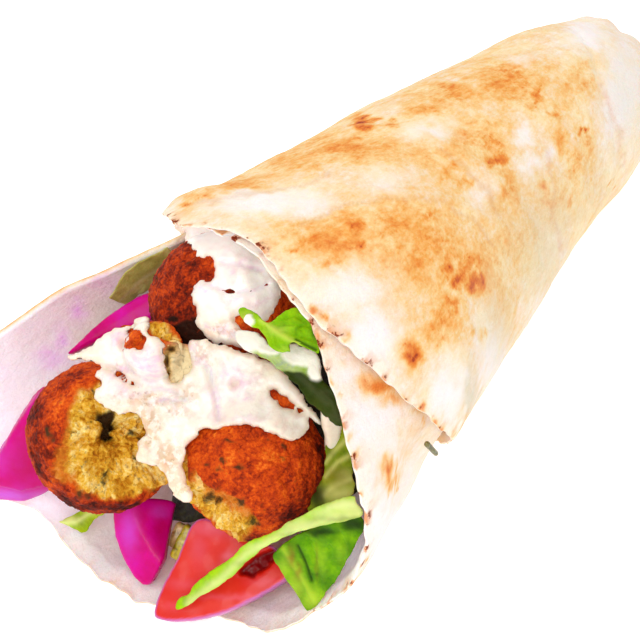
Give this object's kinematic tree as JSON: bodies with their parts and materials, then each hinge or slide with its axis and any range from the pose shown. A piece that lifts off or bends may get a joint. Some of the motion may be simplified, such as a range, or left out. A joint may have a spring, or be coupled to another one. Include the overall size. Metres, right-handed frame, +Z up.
{
  "type": "falafel pita wrap",
  "caption": "Rolled flatbread wrap lying on its side, its open end filled with fried chickpea balls, white sauce, pickled turnip, tomato, lettuce and mint.",
  "frame": {"origin": "on the surface the wrap lies on, under the middle of its bounding box", "axes": "+Y runs along the roll from its filled open end to its closed tail, +Z is up, +X is the side that the outer sheet of bread wraps down over"},
  "size_m": [0.1088, 0.2322, 0.0809],
  "materials": {
    "bread": "soft, matt, floury, toasted in spots",
    "crust": "fried, rough and crumbly, golden inside",
    "sauce": "wet and smooth",
    "turnip": "wet, smooth and slightly translucent",
    "tomato": "wet flesh, glossy skin",
    "lettuce": "thin, satin and ribbed",
    "mint": "thin, satin and veined",
    "pickle": "wet and slightly translucent",
    "salad": "uneven, dark between the leaves"
  },
  "bodies": {
    "root": {"bread_outer": "bread", "bread_inner": "bread", "falafel_left": "crust", "falafel_right": "crust", "falafel_back": "crust", "falafel_crumb": "crust", "sauce_front": "sauce", "sauce_back": "sauce", "sauce_drip": "sauce", "turnip_back": "turnip", "turnip_left": "turnip", "turnip_front": "turnip", "tomato_slice": "tomato", "lettuce_strip": "lettuce", "lettuce_right": "lettuce", "lettuce_left": "lettuce", "lettuce_wall": "lettuce", "lettuce_top": "lettuce", "mint_top": "mint", "mint_bottom": "mint", "pickle_green": "pickle", "pickle_pale": "pickle", "herb_stem": "mint", "salad_filling": "salad"}
  },
  "joints": []
}
